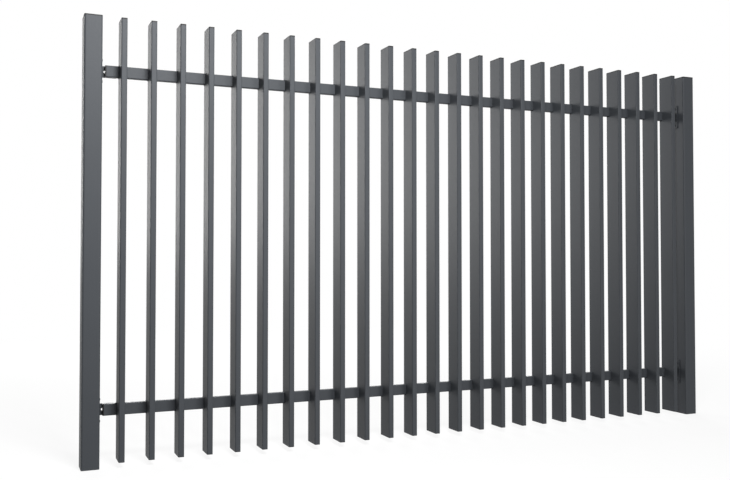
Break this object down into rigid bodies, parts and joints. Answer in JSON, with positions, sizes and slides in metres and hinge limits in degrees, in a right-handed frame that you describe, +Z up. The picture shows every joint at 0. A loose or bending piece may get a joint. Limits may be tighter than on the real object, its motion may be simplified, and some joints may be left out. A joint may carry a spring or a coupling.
{
  "type": "palisade fence bay",
  "caption": "One bay of a palisade fence: upright blade pickets on two rails, held by slotted angle brackets between two rectangular posts.",
  "frame": {"origin": "centre of the left post's foot, at ground level", "axes": "+X along the fence from the left post to the right post, +Y from the front of the fence to its back, +Z up"},
  "size_m": [2.66, 0.093, 1.53],
  "materials": {
    "picket_coating": "satin anthracite powder coat on steel tube",
    "post_coating": "satin anthracite powder coat on steel tube",
    "rail_coating": "satin anthracite powder coat on steel tube",
    "bracket_coating": "satin anthracite powder coat on steel plate",
    "cap_plastic": "matt black moulded polyethylene"
  },
  "bodies": {
    "root": {"left_post": "post_coating", "right_post": "post_coating", "top_rail": "rail_coating", "bottom_rail": "rail_coating", "picket_01": "picket_coating", "picket_02": "picket_coating", "picket_03": "picket_coating", "picket_04": "picket_coating", "picket_05": "picket_coating", "picket_06": "picket_coating", "picket_07": "picket_coating", "picket_08": "picket_coating", "picket_09": "picket_coating", "picket_10": "picket_coating", "picket_11": "picket_coating", "picket_12": "picket_coating", "picket_13": "picket_coating", "picket_14": "picket_coating", "picket_15": "picket_coating", "picket_16": "picket_coating", "picket_17": "picket_coating", "picket_18": "picket_coating", "picket_19": "picket_coating", "picket_20": "picket_coating", "picket_21": "picket_coating", "picket_22": "picket_coating", "picket_23": "picket_coating", "picket_24": "picket_coating", "picket_25": "picket_coating", "left_top_bracket": "bracket_coating", "left_bottom_bracket": "bracket_coating", "right_top_bracket": "bracket_coating", "right_bottom_bracket": "bracket_coating", "left_post_cap": "cap_plastic", "right_post_cap": "cap_plastic", "picket_top_caps": "cap_plastic", "picket_bottom_caps": "cap_plastic", "rail_end_plugs": "cap_plastic"}
  },
  "joints": []
}
